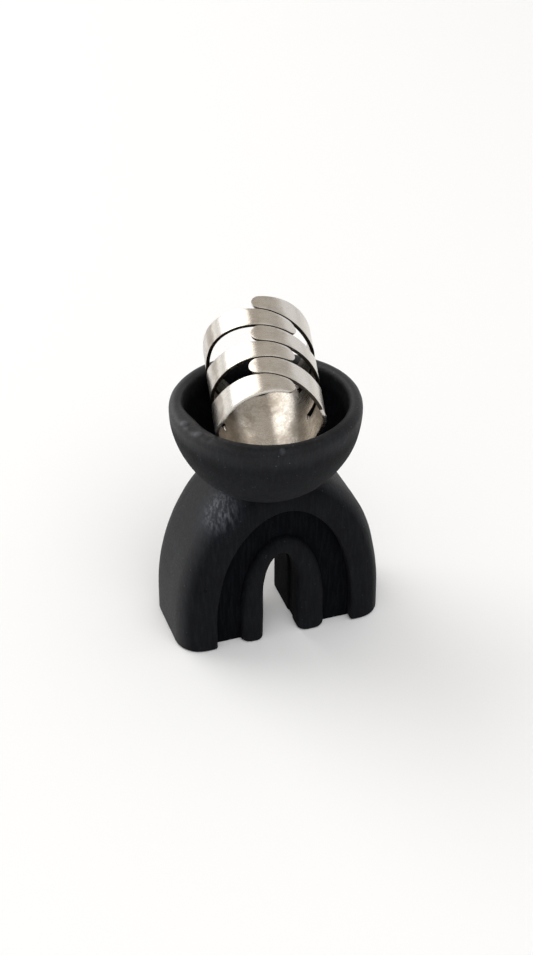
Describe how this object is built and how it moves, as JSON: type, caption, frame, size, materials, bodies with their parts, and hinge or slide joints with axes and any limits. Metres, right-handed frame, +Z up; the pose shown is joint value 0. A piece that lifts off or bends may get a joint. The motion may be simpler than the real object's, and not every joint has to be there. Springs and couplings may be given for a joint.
{
  "type": "open silver finger ring in a stoneware bowl-and-arch ring holder",
  "caption": "Wide finger ring of thin silver sheet with interlaced open fingers, leaning in the bowl of a small matte black stoneware holder on an arched foot.",
  "frame": {"origin": "middle of the holder's flat underside, on the surface that it stands on", "axes": "+Z up; X across the holder's arch; +Y from its front to its back, which is also the way through the doorway"},
  "size_m": [0.0402, 0.0354, 0.0649],
  "materials": {
    "silver": "satin silver, lightly aged, with a brownish grey bloom toward the finger tips and inside",
    "black_stoneware": "matte charcoal black body, faintly burnished, with small pits and bumps"
  },
  "bodies": {
    "root": {"ring": "silver", "holder": "black_stoneware"}
  },
  "joints": []
}
